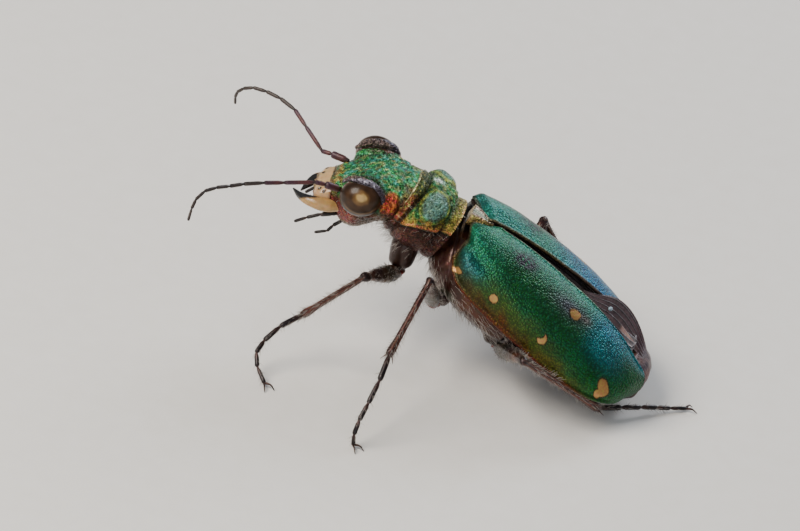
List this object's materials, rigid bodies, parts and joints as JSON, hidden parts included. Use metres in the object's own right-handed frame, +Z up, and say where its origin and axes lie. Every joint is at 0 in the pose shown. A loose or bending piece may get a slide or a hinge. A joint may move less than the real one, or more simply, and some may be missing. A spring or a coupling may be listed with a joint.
{
  "type": "tiger beetle",
  "caption": "Life-size still model of a green tiger beetle standing on its six legs, head raised, antennae forward and wing cases slightly apart.",
  "frame": {"origin": "on the floor, under the middle of the footprint of the legs and antennae", "axes": "+Z up, the head towards -Y and the tail towards +Y, the beetle's left side towards +X"},
  "size_m": [0.0168, 0.0188, 0.0067],
  "materials": {
    "wing_case": "satin, finely granular, metallic green to blue",
    "green_shell": "satin, finely wrinkled, metallic green with gold",
    "copper_shell": "satin, metallic copper and purple",
    "belly": "satin dark purple-brown",
    "eye": "gloss dark olive brown",
    "labrum": "satin cream",
    "mandible": "gloss cream at the root, black at the teeth",
    "palp": "satin dark brown",
    "antenna": "coppery at the root, matte grey-brown beyond",
    "hip": "satin red-brown",
    "foot": "satin dark brown",
    "leg": "satin, metallic copper brown"
  },
  "bodies": {
    "root": {"abdomen": "belly", "antenna_left": "antenna", "antenna_right": "antenna", "coxa_front_left": "hip", "coxa_front_right": "hip", "coxa_hind_left": "hip", "coxa_hind_right": "hip", "coxa_middle_left": "hip", "coxa_middle_right": "hip", "elytron_left": "wing_case", "elytron_right": "wing_case", "eye_left": "eye", "eye_right": "eye", "femur_front_left": "leg", "femur_front_right": "leg", "femur_hind_left": "leg", "femur_hind_right": "leg", "femur_middle_left": "leg", "femur_middle_right": "leg", "head": "green_shell", "labrum": "labrum", "mandible_left": "mandible", "mandible_right": "mandible", "palp_inner_left": "palp", "palp_inner_right": "palp", "palp_outer_left": "palp", "palp_outer_right": "palp", "pronotum": "green_shell", "scutellum": "green_shell", "tarsus_front_left": "foot", "tarsus_front_right": "foot", "tarsus_hind_left": "foot", "tarsus_hind_right": "foot", "tarsus_middle_left": "foot", "tarsus_middle_right": "foot", "thorax": "copper_shell", "tibia_front_left": "leg", "tibia_front_right": "leg", "tibia_hind_left": "leg", "tibia_hind_right": "leg", "tibia_middle_left": "leg", "tibia_middle_right": "leg"}
  },
  "joints": []
}
